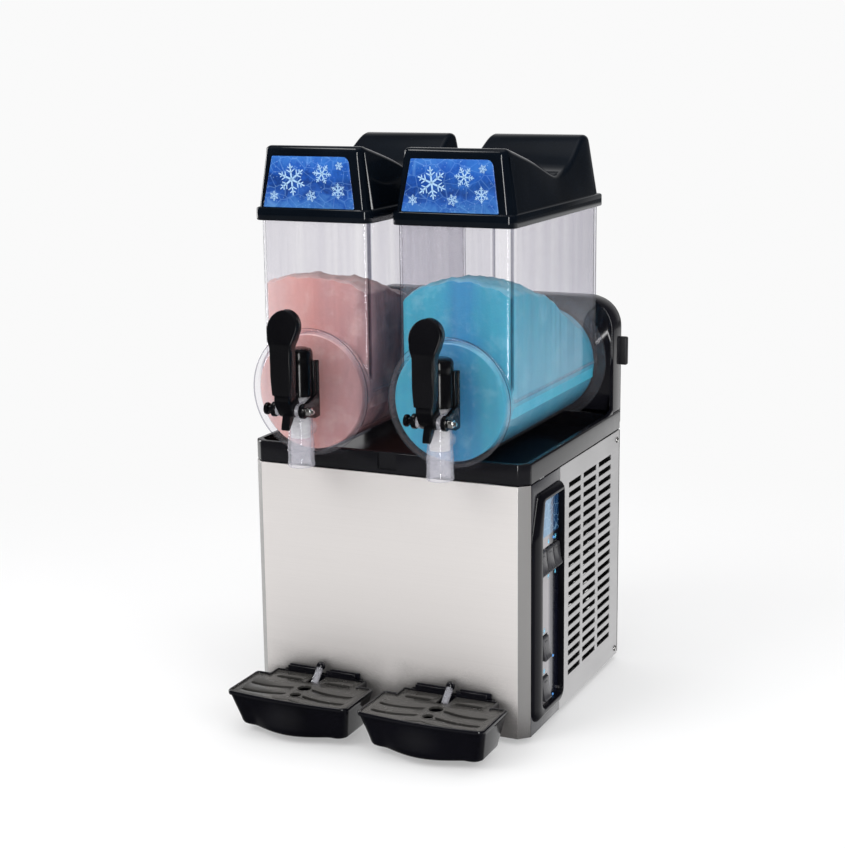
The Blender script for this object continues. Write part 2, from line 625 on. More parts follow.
def louvre_panel(name, node, side, y0, y1, mat):
    """Sheet with pressed louvres: three columns of slots, each with a blade turned in behind it."""
    X = HW * side
    s = side
    cols = [(150, 197), (207, 259), (269, 321)]
    rows = [(37 + i * 13.7 - 0.05, 37 + i * 13.7 + 7.25) for i in range(20)]
    ys = [y0] + [v for c in cols for v in c] + [y1]
    zs = [0.3] + [v for r in rows for v in r] + [332.6]
    vs, fs, idx = [], [], {}

    def vid(y, z, dx=0.0):
        key = (round(y, 3), round(z, 3), dx)
        if key not in idx:
            idx[key] = len(vs)
            vs.append((X - s * dx, y, z))
        return idx[key]

    for iy in range(len(ys) - 1):
        for iz in range(len(zs) - 1):
            if iy % 2 == 1 and iz % 2 == 1:
                continue
            fs.append((vid(ys[iy], zs[iz]), vid(ys[iy + 1], zs[iz]), vid(ys[iy + 1], zs[iz + 1]), vid(ys[iy], zs[iz + 1])))
    o = obj(name, vs, fs)
    m = o.modifiers.new("solid", "SOLIDIFY")
    m.thickness = 0.0012
    m.offset = -1 if True else 1
    bake(o)
    # make sure the sheet lies inside the cabinet's outer plane
    mx = max(abs(v.co.x - OX) for v in o.data.vertices) * 1000
    if mx > HW + 0.2:
        for v in o.data.vertices:
            if abs(v.co.x - OX) * 1000 > HW + 0.2:
                v.co.x = OX + s * (HW - 1.2) / 1000
        clean(o)
    # blades: bent in from the top edge of each slot, closed at the sides by a small gusset
    bv, bf = [], []
    for (ya, yb) in cols:
        for (za, zb) in rows:
            prof = [(0.25, zb + 0.6), (1.2, zb - 0.2), (3.2, zb - 2.2), (5.4, zb - 5.2), (6.8, za - 1.2), (7.4, za - 3.6), (7.9, za - 6.4)]
            th = 0.9
            b = len(bv)
            for y in (ya - 0.4, yb + 0.4):
                for (d, z) in prof:
                    bv.append((X - s * (d + 1.0), y, z))
                for (d, z) in reversed(prof):
                    bv.append((X - s * (d + 1.0 + th), y, z + 0.35))
            n = 2 * len(prof)
            bf.append(tuple(b + i for i in range(n)))
            bf.append(tuple(b + n + i for i in reversed(range(n))))
            for i in range(n):
                bf.append((b + i, b + n + i, b + n + (i + 1) % n, b + (i + 1) % n))
            # closed ends, as a pressed louvre has
            cap = [(0.2, zb + 0.6)] + prof + [(0.2, za - 3.6)]
            m2 = len(cap)
            for (e0, e1) in ((ya - 1.0, ya - 0.3), (yb + 0.3, yb + 1.0)):
                b = len(bv)
                for y in (e0, e1):
                    for (d, z) in cap:
                        bv.append((X - s * (d + 1.0), y, z))
                bf.append(tuple(b + i for i in range(m2)))
                bf.append(tuple(b + m2 + i for i in reversed(range(m2))))
                for i in range(m2):
                    bf.append((b + i, b + m2 + i, b + m2 + (i + 1) % m2, b + (i + 1) % m2))
    blades = obj(name + "_blades", bv, bf)
    finish_piece(o, mat, "cabinet", [node], 28)
    finish_piece(blades, "louvre_dark", "cabinet", [], 28)
    return o


def rear_panel():
    cols = [(-160, -60), (-50, 50), (60, 160)]
    rows = [(60 + i * 12.5, 66 + i * 12.5) for i in range(17)]
    o = rbox("rear_skin", -HW, HW, 356.6, 360, 2.2, 332.6, 1.2, 3)
    pad = rbox("rear_pad", -171, 171, 359.2, 361.5, 52, 282, 1.0, 3)
    boolean(o, pad, "UNION")
    vs, fs = [], []
    for (a, b) in cols:
        for (c, d) in rows:
            k = len(vs)
            for y in (350, 366):
                vs += [(a, y, c), (b, y, c), (b, y, d), (a, y, d)]
            fs += [(k, k + 1, k + 2, k + 3), (k + 7, k + 6, k + 5, k + 4)] + [(k + i, k + 4 + i, k + 4 + (i + 1) % 4, k + (i + 1) % 4) for i in range(4)]
    boolean(o, obj("cut", vs, fs))
    boolean(o, rbox("cut", -160, -112, 350, 370, 13.5, 42.5, 0))
    finish_piece(o, "black_satin", "cabinet", ["rear_panel"], 28)


def screw(name, c, axis, sgn, r=4.2, body="cabinet"):
    """Cross-head machine screw with a domed head."""
    prof = [(0.0, 2.3), (1.6, 2.25), (2.9, 1.9), (3.8, 1.2), (r, 0.45), (r, 0.05), (1.7, 0.05), (1.7, -7.0), (0, -7.0)]
    prof = [(a, b * sgn) for a, b in prof]
    o = lathe(name, prof, axis, c, 28)
    for q in (0, 1):
        if axis == "x":
            cut = rbox("c", c[0] + sgn * 1.1 - 0.9, c[0] + sgn * 1.1 + 2.2, c[1] - (2.1 if q else 0.45), c[1] + (2.1 if q else 0.45), c[2] - (0.45 if q else 2.1), c[2] + (0.45 if q else 2.1), 0)
        else:
            cut = rbox("c", c[0] - (2.1 if q else 0.45), c[0] + (2.1 if q else 0.45), c[1] + sgn * 1.1 - 0.9, c[1] + sgn * 1.1 + 2.2, c[2] - (0.45 if q else 2.1), c[2] + (0.45 if q else 2.1), 0)
        boolean(o, cut)
    return o


def screws():
    parts = []
    for s in (-1, 1):
        for z in (10.5, 320):
            parts.append(screw("sc", (s * HW, 347, z), "x", s))
    for x in (-184, 184):
        for z in (14, 318):
            parts.append(screw("sc", (x, 360.0, z), "y", 1))
    o = join(parts, "case_screws")
    finish_piece(o, "screw_steel", "cabinet", ["screws"], 30)


def plan_poly(i, y0, y1, C=13.0):
    c = C - i * 0.41
    return [(-HW + i, y0 + c), (-HW + i, y1), (HW - i, y1), (HW - i, y0 + c), (HW - i - c, y0), (-HW + i + c, y0)]


def deck():
    z0, z1 = mmbox("deck")[0][2], mmbox("deck")[1][2]
    o = prism("deck_moulding", plan_poly(0, 0, 360), "z", z0 + 0.2, z1)
    bevel(o, 2.4, 4, 25)
    basin = prism("cut", roundpoly(plan_poly(7, 7, 324.6), [9] * 6, 5), "z", z0 + 8, z1 + 12)
    boolean(o, basin)
    for _, cx in SIDES:
        boolean(o, cyl("cut", 78.7, "y", (cx, 0, ZC), -2, 30, 96))
    boolean(o, rbox("cut", -11, 16, -3, 2.6, z0 + 5.5, z1 + 6, 0))
    boolean(o, rbox("cut", -184, 184, 328, 352, z0 - 2, z1 - 4, 0))
    # shallow shadow groove that runs round the lower edge
    finish_piece(o, "deck_black", "cabinet", ["deck"], 28)


def arch(w, z0, z1, r, n=14):
    return [(-w, z0), (w, z0)] + arc(w - r, z1 - r, r, 0, 90, n) + arc(-w + r, z1 - r, r, 90, 180, n)


def tower():
    zt = mmbox("tower_shell")[1][2]
    zb = mmbox("deck")[1][2] + 0.1
    o = prism("tower_casing", arch(HW, zb, zt, 45), "y", 325, 360)
    bevel(o, 3.0, 4, 40)
    boolean(o, prism("cut", arch(HW - 3, zb - 4, zt - 3, 42), "y", 328, 364))
    for s in (-1, 1):
        pts = [(327, zb)] + [(297, zb)] + arc(297, zb + 60, 60, -90, -28, 10)[1:] + [(352 - 25, zb + 44)]
        pts = [(p[0] if p[0] < 327 else 327, p[1]) for p in pts]
        g = prism("gusset", pts, "x", s * (HW - 5), s * HW)
        bevel(g, 1.0, 2, 40)
        boolean(o, g, "UNION")
    for _, cx in SIDES:
        boolean(o, cyl("cut", 12, "y", (cx, 0, ZC), 320, 330, 40))
    finish_piece(o, "black_gloss", "cabinet", ["tower_shell"], 28)
    # rear cover with vents and two side catches
    lo, hi = mmbox("tower_cover")
    c = prism("tower_rear_cover", arch(HW - 3, lo[2], hi[2], 42), "y", 360.3, hi[1])
    bevel(c, 3.5, 4, 40)
    boolean(c, prism("cut", arch(HW - 6, lo[2] + 3, hi[2] - 3, 39), "y", 358, hi[1] - 3))
    vs, fs = [], []
    for i in range(9):
        for (a, b) in ((-150, -10), (10, 150)):
            k = len(vs)
            for y in (355, 380):
                vs += [(a, y, 370 + i * 14), (b, y, 370 + i * 14), (b, y, 375 + i * 14), (a, y, 375 + i * 14)]
            fs += [(k, k + 1, k + 2, k + 3), (k + 7, k + 6, k + 5, k + 4)] + [(k + i2, k + 4 + i2, k + 4 + (i2 + 1) % 4, k + (i2 + 1) % 4) for i2 in range(4)]
    boolean(c, obj("cut", vs, fs))
    for s in (-1, 1):
        g = rbox("catch", min(s * 190, s * hi[0]), max(s * 190, s * hi[0]), 360.6, 369, 425, 465, 2.5, 4)
        boolean(c, g, "UNION")
    finish_piece(c, "black_satin", "cabinet", ["tower_cover"], 28)


# ------------------------------------------------------------------ control side


def column():
    pts = [(183, 13.4), (HW, 13.4), (HW, 116), (183, 116), (183, 113.4), (192.5, 113.4), (192.5, 16), (183, 16)]
    o = prism("control_column_shell", pts, "z", 13.2, 332.6)
    lo = prism("c2", [(193.9, 13.4), (HW, 13.4), (HW, 116), (193.9, 116)], "z", 0.3, 14)
    boolean(o, lo, "UNION")
    bevel(o, 0.9, 3, 40)
    boolean(o, rbox("cut", 188, 200, 34.8, 112.2, 28, 307, 0))
    finish_piece(o, "column_dark", "cabinet", ["control_column"], 28)


def bezel():
    xo = HW + 0.1
    top = mmbox("control_bezel")[1][0]
    oc = [(13.6, 262), (33, 317), (116, 317), (116, 15), (13.6, 15)]
    ic = [(36, 258), (44, 306), (111, 306), (111, 29), (36, 29)]
    mc = [(30, 259), (41, 309), (112.5, 309), (112.5, 26), (30, 26)]
    O = roundpoly(oc, [40, 7, 6, 13, 20], 8)
    I = roundpoly(ic, [30, 4, 4, 9, 12], 8)
    MM = roundpoly(mc, [34, 5, 5, 10, 14], 8)
    H = top - xo
    rings = []

    def ring(P, x):
        rings.append([(x, p[0], p[1]) for p in P])

    def lerp(A, B, t):
        return [(a[0] + (b[0] - a[0]) * t, a[1] + (b[1] - a[1]) * t) for a, b in zip(A, B)]

    ring(lerp(O, MM, 0.10), xo)
    ring(O, xo + 0.5)
    for t, h in ((0.03, 0.22), (0.10, 0.38), (0.25, 0.58), (0.45, 0.77), (0.65, 0.90), (0.85, 0.975), (1.0, 1.0)):
        ring(lerp(O, MM, t), xo + H * h)
    for t, h in ((0.5, 0.985), (0.85, 0.93), (1.0, 0.82)):
        ring(lerp(MM, I, t), xo + H * h)
    ring(I, xo + H * 0.25)
    ring(I, xo)
    rings.append(rings[0])
    o = loft("control_bezel_frame", rings, False, False)
    finish_piece(o, "bezel_black", "cabinet", ["control_bezel"], 40)


def rocker(i, node, w=11.0):
    px, py, pz = JP[node + "_tilt"]
    face = [(4.0, 14.5), (6.2, 15.0), (8.0, 14.2), (8.5, 12.2), (8.65, 8.5), (9.0, 4.0), (9.5, 0.0), (10.1, -4.0), (11.0, -8.2), (12.1, -11.6), (13.3, -13.8), (12.6, -15.0), (10.5, -15.0), (5.0, -14.5)]
    poly = [(px + a, pz + b) for a, b in ([(-2.6, -6), (-2.6, 6)] + face)]
    o = prism(node + "_cap", poly, "y", py - w, py + w)
    bevel(o, 0.9, 3, 40)
    st = cyl("st", 1.5, "y", (px, py, pz), -12.05, 12.05, 20)
    join([o, st])
    finish_piece(o, "rocker_dark", node, [node], 35)
    # raised grip rib across the low end
    rb = rbox(node + "_rib", px + 8.3, px + 9.35, py - 4.5, py + 4.5, pz + 8.6, pz + 9.6, 0.4, 2)
    finish_piece(rb, "rocker_dark", node, [], 35)


def icons():
    """Small generic picture marks next to the rockers: drop, flake, sun."""
    x = HW - 0.1
    x1 = HW + 0.12
    parts = []

    def drop(y, z, r):
        P = arc(y, z, r, -215, 35, 16) + [(y, z + 2.3 * r)]
        parts.append(prism("ic", P, "x", x, x1))

    def flake(y, z, r):
        for a in (0, 60, 120):
            ca, sa = math.cos(math.radians(a)), math.sin(math.radians(a))
            P = [(-r, -0.35), (r, -0.35), (r, 0.35), (-r, 0.35)]
            parts.append(prism("ic", [(y + p[0] * ca - p[1] * sa, z + p[0] * sa + p[1] * ca) for p in P], "x", x, x1 + a * 0.0004))
        parts.append(prism("ic", arc(y, z, r * 0.42, 0, 330, 11), "x", x, x1 + 0.06))

    def dots(y, z, r):
        parts.append(prism("ic", arc(y, z, r * 0.5, 0, 345, 23), "x", x, x1))
        for a in range(0, 360, 45):
            cy, cz = y + r * math.cos(math.radians(a)), z + r * math.sin(math.radians(a))
            parts.append(prism("ic", arc(cy, cz, r * 0.16, 0, 315, 7), "x", x, x1))

    drop(50, 244, 2.0); drop(74.5, 244, 2.0); flake(99, 245.5, 3.6)
    flake(50, 199, 3.4); dots(74.5, 199, 3.4); drop(99, 197.5, 1.9)
    dots(60, 128.5, 3.4); flake(60, 73.5, 3.6)
    o = join(parts, "panel_marks")
    finish_piece(o, "icon_print", "cabinet", [], 30)


# ------------------------------------------------------------------ bowls


def bowl(side, cx):
    b = "bowl_" + side
    R, t = 78.0, 3.0
    n = 96
    o = lathe(b + "_shell", [(0, -18), (R - 1, -18), (R, -17), (R, 320), (0, 320)], "y", (cx, 0, ZC), n)
    disc = lathe("d", [(0, -18.0), (82.2, -18.0), (82.5, -17.7), (82.5, -15.3), (82.2, -15.0), (0, -15.0)], "y", (cx, 0, ZC), n)
    boolean(o, disc, "UNION")
    fl = lathe("d", [(0, 316.5), (89.0, 316.5), (89.5, 317), (89.5, 319.5), (89.0, 320), (0, 320)], "y", (cx, 0, ZC), n)
    boolean(fl, rbox("c", cx - 100, cx + 100, 300, 330, 300, 362.6, 0))
    boolean(o, fl, "UNION")
    top = mmbox("bowl_" + side)[1][2]
    hop = prism("h", [(cx + p[0], p[1]) for p in rrect(-77.9, 77.9, 3, 318, 12, 10)], "z", ZC, top)
    boolean(o, hop, "UNION")
    # spout, port and ears
    sp = lathe("s", [(0, 345), (16.4, 345), (17.3, 346), (17.5, 348), (16.9, 353), (16.6, 380), (16.1, 383.5), (15.5, 385), (15.5, 440), (0, 440)], "z", (cx, -44, 0), 48)
    boolean(o, sp, "UNION")
    for zr in (372.0, 366.5):
        rg = lathe("s", [(15.5, zr - 1.2), (17.3, zr - 0.9), (17.6, zr), (17.3, zr + 0.9), (15.5, zr + 1.2)], "z", (cx, -44, 0), 48, True)
        boolean(o, rg, "UNION")
    boolean(o, cyl("s", 10, "y", (cx, 0, 391), -36, -16.5, 40), "UNION")
    for e in (-1, 1):
        x0, x1 = (11, 16.5) if e > 0 else (-16.5, -11)
        P = arc(-72, 423, 8.5, 90, 270, 14) + [(-50, 412.5), (-50, 433.0)]
        ear = prism("e", P, "x", cx + x0, cx + x1)
        bevel(ear, 0.8, 2, 50)
        boolean(o, ear, "UNION")
    # hollow it out
    boolean(o, lathe("i", [(0, -15), (R - t - 1.5, -15), (R - t, -13.5), (R - t, 324), (0, 324)], "y", (cx, 0, ZC), n))
    boolean(o, prism("i", [(cx + p[0], p[1]) for p in rrect(-74.9, 74.9, 6, 315, 9, 10)], "z", ZC, top + 6))
    boolean(o, cyl("i", 13, "z", (cx, -44, 0), 340, 445, 40))
    boolean(o, cyl("i", 5.5, "y", (cx, 0, 391), -44, -14, 28))
    boolean(o, rbox("i", cx - 6, cx + 6, -64, -52, 412, 445, 0))
    boolean(o, cyl("i", 3.05, "x", (cx, -72, 423), -30, 30, 24))
    finish_piece(o, "bowl_clear", b, [b], 30)
    o.data.materials.append(MATS["spout_clear"])
    o.data.materials.append(MATS["bowl_edge"])
    for p in o.data.polygons:
        c = ((p.center.x - OX) * 1000 - cx, (p.center.y - OY) * 1000, (p.center.z - OZ) * 1000)
        if c[1] < -18.4:
            p.material_index = 1
        elif c[1] < -14.6 and math.hypot(c[0], c[2] - ZC) > 79.5 and abs(p.normal.y) < 0.9:
            p.material_index = 2
        elif c[2] > ZC + 30 and abs(p.normal.z) < 0.1 and abs(c[0]) > 64 and 46 < math.degrees(math.atan2(abs(p.normal.x), abs(p.normal.y))) < 66:
            p.material_index = 2
    return o


def slush(side, cx):
    """Frozen mix: fills the bowl cylinder, drifts down from the front of the hopper, hollow where the spiral turns."""
    b = "bowl_" + side
    R = 74.75
    sgn = 1 if side == "right" else -1
    x0, x1, y0, y1 = -74.65, 74.65, 6.25, 314.7
    raw = rrect(x0, x1, y0, y1, 8.8, 6)
    P = []
    for a, c in zip(raw, raw[1:] + raw[:1]):
        k = max(1, int(math.hypot(c[0] - a[0], c[1] - a[1]) / 3.6))
        P += [(a[0] + (c[0] - a[0]) * i / k, a[1] + (c[1] - a[1]) * i / k) for i in range(k)]
    wall = [(0, 557), (46, 557.5), (69, 556), (137, 541), (204, 512), (256, 485), (305, 452), (340, 430)]

    def top(x, y):
        for (ya, za), (yb, zb) in zip(wall, wall[1:]):
            if ya <= y <= yb:
                base = za + (zb - za) * (y - ya) / (yb - ya)
                break
        amp, mid, lift = (30.0, 8.0, -1.0) if side == "right" else (16.0, -10.0, 9.0 * max(0.0, 1 - y / 160))
        fall = 1 - 0.45 * min(1.0, max(0.0, (y - 50) / 190))
        crown = amp * fall * (1 - min(1.15, abs(x - mid) / 84) ** 2.1)
        nz = noise.fractal(Vector((x * 0.03 + 7 * sgn, y * 0.024, 3.1)), 1.0, 2.0, 5) * 4.0 + noise.noise(Vector((x * 0.12, y * 0.12, 7.7 * sgn))) * 1.8 + noise.noise(Vector((x * 0.3, y * 0.3, 1.7 * sgn))) * 0.7
        return max(ZC + 2, base + lift + crown + nz)

    cyy = (y0 + y1) / 2
    K = 34
    rings = [[(cx + p[0], p[1], ZC - 20) for p in P]]
    rings.append([(cx + p[0], p[1], top(p[0], p[1]) - 2.5) for p in P])
    for k in range(1, K):
        f = 1 - k / K
        rings.append([(cx + p[0] * f, cyy + (p[1] - cyy) * f, top(p[0] * f, cyy + (p[1] - cyy) * f) - (1.0 if k == 1 else 0)) for p in P])
    o = loft(b + "_mix_tmp", rings)
    m = lathe("m", [(0, -14.8), (R - 1.5, -14.8), (R, -13.3), (R, 311), (0, 311)], "y", (cx, 0, ZC), 96)
    boolean(o, rbox("c", cx - 90, cx + 90, 311, 330, 380, 520, 0))
    boolean(m, o, "UNION")
    boolean(m, lathe("i", [(0, -11), (71.3, -11), (71.3, 340), (0, 340)], "y", (cx, 0, ZC), 72))
    m.name = "frozen_mix_" + side
    finish_piece(m, "slush_blue" if side == "right" else "slush_pink", b, ["slush_" + side], 45)
    return m


LID_TOP = [(-2.0, 668.0), (0.4, 702.0), (2.7, 735.0), (3.4, 739.0), (5.0, 742.4), (7.8, 744.9), (11.5, 746.0), (16, 746.0), (21, 745.2), (27, 743.6), (36, 741.4), (48, 738.2), (62, 734.6), (78, 730.4), (94, 725.8), (108, 721.4), (120, 717.3), (132, 713.2), (144, 709.2), (154, 706.4), (162, 705.0), (170, 704.6), (178, 704.9), (188, 706.0), (198, 707.6), (208, 710.2), (218, 713.8), (228, 718.2), (238, 723.2), (247, 728.2), (256, 733.6), (264, 738.4), (271, 742.3), (278, 745.4), (285, 747.2), (291, 748.0), (296, 747.6), (300, 746.2), (303.4, 743.6), (305.6, 740.0), (307.0, 735.0), (311.0, 702.0), (315.0, 668.0)]


def lid(side, cx):
    b = "lid_" + side

    def wx(z):
        return 78.0 - (z - 668.0) * 0.128

    n = len(LID_TOP)
    rings = []
    M = 9
    for i, (y, z) in enumerate(LID_TOP):
        ya, za = LID_TOP[max(i - 1, 0)]
        yb, zb = LID_TOP[min(i + 1, n - 1)]
        ty, tz = yb - ya, zb - za
        tl = math.hypot(ty, tz)
        ny, nz = -tz / tl, ty / tl                      # outward: left of the travel direction
        steep = max(0.0, abs(ny) - 0.5) * 2
        r = 6.0 + 5.0 * min(1.0, steep) if y < 150 else 6.0 + 2.5 * min(1.0, steep)
        half = []
        for k in range(M + 1):
            t = math.radians(90 * k / M)
            d = r * (1 - math.sin(t))
            yy, zz = y - ny * d, z - nz * d
            half.append((-(wx(min(zz, 748)) - r * (1 - math.cos(t))), yy, max(zz, 668.0)))
        foot = (-78.0, half[0][1], 668.0)
        ring = [foot] + half
        ring += [(-p[0], p[1], p[2]) for p in reversed(ring)]
        rings.append([(cx + p[0], p[1], p[2]) for p in ring])
    o = loft(b + "_crown", rings, False, False, False)
    s = o.modifiers.new("s", "SOLIDIFY")
    s.thickness = 0.0022
    s.offset = -1
    bake(o)
    # skirt: stepped ring with rounded corners
    outer = [(82.0, -4.0, 325.0, 12, 652.0), (82.4, -4.4, 325.4, 12, 653.0), (82.4, -4.4, 325.4, 12, 666.0), (81.9, -3.9, 324.9, 12, 667.4), (80.6, -2.9, 323.6, 12, 668.2), (78.2, -2.1, 316.5, 11, 668.9), (76.0, 0.4, 313.0, 10, 669.2)]
    inner = [(75.0, 1.5, 312.0, 10, 668.0), (75.0, 5.0, 315.5, 9, 657.4), (79.2, 0.8, 320.2, 11, 657.4), (79.4, 0.6, 320.4, 11, 652.3)]
    rings = []
    for w, ya, yb, r, z in outer + inner:
        rings.append([(cx + p[0], p[1], z) for p in rrect(-w, w, ya, yb, r, 8)])
    rings.append(rings[0])
    sk = loft("sk", rings, False, False)
    join([o, sk], b + "_cover")
    finish_piece(o, "lid_black", b, [b], 40)


def sign(side, cx):
    b = "lid_" + side
    P = roundpoly([(-67.5, 0.8), (61.5, 0.8), (52, 65), (-56, 65)], [1.5, 1.5, 9, 2.0], 6)
    t = math.tan(math.radians(3.95))

    def at(p, d):
        z = 668.4 + p[1]
        return (cx + p[0], -2.0 + (z - 668) * t - d, z)

    rings = [[at(p, 0.08) for p in P], [at(p, 1.1) for p in P], [at((p[0] * 0.992 - 0.04, 31.6 + (p[1] - 31.6) * 0.985), 1.5) for p in P]]
    o = loft("sign_plate_" + side, rings)
    finish_piece(o, "sign_ice", b, ["lid_sign_" + side], 40)
    # generic ice flakes, raised print
    parts = []

    def bar(x, z, a, l, w, y=1.55):
        ca, sa = math.cos(a), math.sin(a)
        q = [(-w, 0), (w, 0), (w * 0.6, l), (-w * 0.6, l)]
        pts = [(x + c * ca - d * sa, z + c * sa + d * ca) for c, d in q]
        parts.append(loft("f", [[at(p, y) for p in pts], [at(p, y + 0.25) for p in pts]]))

    def flake(x, z, r, w, rot):
        for k in range(6):
            a = math.radians(60 * k + rot)
            bar(x, z, a, r, w)
            for f, l in ((0.45, 0.34), (0.70, 0.22)):
                bx, bz = x - math.sin(a) * r * f, z + math.cos(a) * r * f
                for g in (-1, 1):
                    bar(bx, bz, a + g * math.radians(58), r * l, w * 0.7)

    flake(-27, 36, 20, 1.25, 8)
    flake(16, 44, 13, 0.95, 25)
    flake(39, 23, 10, 0.8, 3)
    flake(1, 16, 7.5, 0.65, 15)
    flake(-52, 15, 6.5, 0.6, 0)
    flake(40, 54, 5.5, 0.55, 20)
    f = join(parts, "sign_flakes_" + side)
    finish_piece(f, "flake_print", b, [], 30)


# ------------------------------------------------------------------ taps


def tap(side, cx):
    bb = "bowl_" + side
    # black body: stepped cap, barrel, rear plate, two arms with lugs
    o = lathe("tap_housing_" + side, [(0, 437), (17.6, 437), (18.3, 437.8), (18.3, 478.2), (17.9, 479.0), (16.9, 479.3), (16.9, 480.2), (17.7, 480.7), (17.9, 481.5), (17.7, 491.0), (17.0, 494.0), (15.2, 496.4), (12.0, 497.7), (6, 498), (0, 498)], "z", (cx, -44, 0), 48)
    pl = rbox("p", cx - 21, cx + 21, -44, -33, 437.4, 482, 1.6, 3)
    boolean(o, pl, "UNION")
    for e in (-1, 1):
        x0, x1 = (17.2, 23) if e > 0 else (-23, -17.2)
        P = [(-33, 410), (-33, 482), (-37.5, 482), (-37.5, 441), (-43, 438.5), (-60, 433.0)] + arc(-72, 423, 9.5, 62, 300, 18) + [(-46, 409)]
        arm = prism("a", P, "x", cx + x0, cx + x1)
        bevel(arm, 0.9, 3, 40)
        boolean(o, arm, "UNION")
    boolean(o, cyl("c", 15.7, "z", (cx, -44, 0), 430, 444, 40))
    boolean(o, cyl("c", 13, "z", (cx, -44, 0), 430, 492, 40))
    boolean(o, rbox("c", cx - 6, cx + 6, -66, -52, 430, 442, 0))
    boolean(o, cyl("c", 3.05, "x", (cx, -72, 423), -30, 30, 24))
    finish_piece(o, "tap_black", bb, ["tap_body_" + side], 32)

    # lever: straight handle, round dished head leaning back
    HC, HR, LW = 529.0, 21.5, 14.5

    def half(z):
        if z >= HC:
            return math.sqrt(max(0.0, HR * HR - (z - HC) ** 2))
        w = math.sqrt(max(0.0, HR * HR - (z - HC) ** 2)) if z > HC - HR else 0
        # blend the circle into the neck
        zt = HC - 9.0
        wt = math.sqrt(HR * HR - 81.0)
        if z >= zt:
            return w
        if z >= 500:
            t = (z - 500) / (zt - 500)
            t = t * t * (3 - 2 * t)
            return LW + (wt - LW) * t ** 1.35
        if z >= 470:
            return LW
        return LW - 2.0 * ((470 - z) / 26) ** 1.5

    def front(z):
        return -94.0 if z <= 511 else -94.0 + (z - 511) * 0.37

    def back(z):
        if z <= 452:
            return -77.0 + 1.5 * (452 - z) / 8
        if z <= 505:
            return -77.0
        return -77.0 + (z - 505) * 0.20

    zs = [444.2, 445.0, 447, 452, 460, 470, 480, 490, 500, 504, 508, 510.8, 511.2, 514, 517, 520, 524, 528, 532, 536, 540, 543, 545.5, 547.5, 549, 550, 550.4]
    rings = []
    for i, z in enumerate(zs):
        w = half(z)
        f, bk = front(z), back(z)
        if i == 0:
            w -= 1.0; f += 1.0; bk -= 1.0
        r = min(2.4, w * 0.45, (bk - f) * 0.4)
        sect = rrect(-w, w, f, bk, r, 4)
        dish = 2.6 if z > 511 else 0.7
        ring = []
        for p in sect:
            # dish the front a little
            d = 0.0
            if p[1] < f + r + 0.01 and w > 1:
                q = 1 - (p[0] / w) ** 2
                amp = dish * (1.0 if z <= 511 else max(0, 1 - ((z - HC) / HR) ** 2) * 0.9 + 0.1)
                d = amp * q if abs(p[0]) < w - r - 0.01 else 0.0
            ring.append((cx + p[0], p[1] + d, z))
        rings.append(ring)
    # denser front face so that the dish shows
    lv = loft("tap_handle_" + side, rings)
    blk = prism("b", [(-92, 446.5), (-92.5, 438), (-88, 428), (-82, 419), (-76, 414.6), (-67, 414.6), (-63.5, 417.5), (-62.5, 421), (-62.5, 429), (-66, 438), (-70, 446.5)], "x", cx - 10.4, cx + 10.4)
    bevel(blk, 1.6, 3, 25)
    sp = prism("s", [(-81, 419), (-66, 416), (-72, 408), (-79.5, 399.8), (-82.5, 398.6), (-86, 399.5), (-85.5, 405)], "x", cx - 5, cx + 5)
    bevel(sp, 1.2, 2, 30)
    fg = rbox("f", cx - 4, cx + 4, -66, -52, 419.5, 426.5, 0.8, 2)
    boolean(blk, sp, "UNION")
    boolean(blk, fg, "UNION")
    boolean(blk, cyl("c", 3.06, "x", (cx, -72, 423), -30, 30, 24))
    boolean(lv, blk, "UNION")
    finish_piece(lv, "tap_black", "tap_lever_" + side, ["tap_lever_" + side], 26)

    # pin: steel rod and square end, black knob with a groove
    pin = lathe("tap_pin_rod_" + side, [(0, -27.5), (3, -27.5), (3, 24), (0, 24)], "x", (cx, -72, 423), 28)
    sq = rbox("q", cx + 23.3, cx + 31.5, -76.5, -67.5, 418.5, 427.5, 1.1, 3)
    boolean(pin, sq, "UNION")
    nut = lathe("n", [(0, 31), (2.6, 31), (2.6, 34.4), (2.0, 35), (0, 35)], "x", (cx, -72, 423), 24)
    boolean(pin, nut, "UNION")
    finish_piece(pin, "screw_steel", bb, ["tap_pin_" + side], 32)
    kn = lathe("tap_pin_knob_" + side, [(0, -34), (5.6, -34), (7.2, -33.4), (7.8, -32), (7.8, -30.2), (7.3, -28.9), (5.6, -28.2), (4.4, -27.9), (4.2, -25.6), (6.0, -25.2), (6.3, -24.4), (6.0, -23.3), (0, -23.3)], "x", (cx, -72, 423), 36)
    finish_piece(kn, "tap_black", bb, [], 40)
    # two pale bushes between ears and lever
    bs = []
    for e in (-1, 1):
        h = (e * 10.5, e * 10.95) if e > 0 else (-10.95, -10.5)
        bs.append(lathe("u", [(3.2, h[0]), (6.4, h[0]), (6.4, h[1]), (3.2, h[1])], "x", (cx, -72, 423), 28, True))
        h = (16.6, 17.1) if e > 0 else (-17.1, -16.6)
        bs.append(lathe("u", [(3.2, h[0]), (7.0, h[0]), (7.0, h[1]), (3.2, h[1])], "x", (cx, -72, 423), 28, True))
    o2 = join(bs, "tap_washers_" + side)
    finish_piece(o2, "screw_steel", bb, [], 32)


def spring(side, cx):
    """Return spring over the piston: shortens towards its upper seat as the piston lifts."""
    n, turns = 132, 6.0
    pts = []
    for i in range(n + 1):
        a = 2 * math.pi * turns * i / n
        pts.append((cx + 9.2 * math.cos(a), -44 + 9.2 * math.sin(a), 447.5 + 40.6 * i / n))
    o = tube("tap_spring_coil_" + side, pts, 0.95, 8)
    finish_piece(o, "drum_steel", "bowl_" + side, ["tap_spring_" + side], 60)
    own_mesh(o)
    return o


# ------------------------------------------------------------------ trays


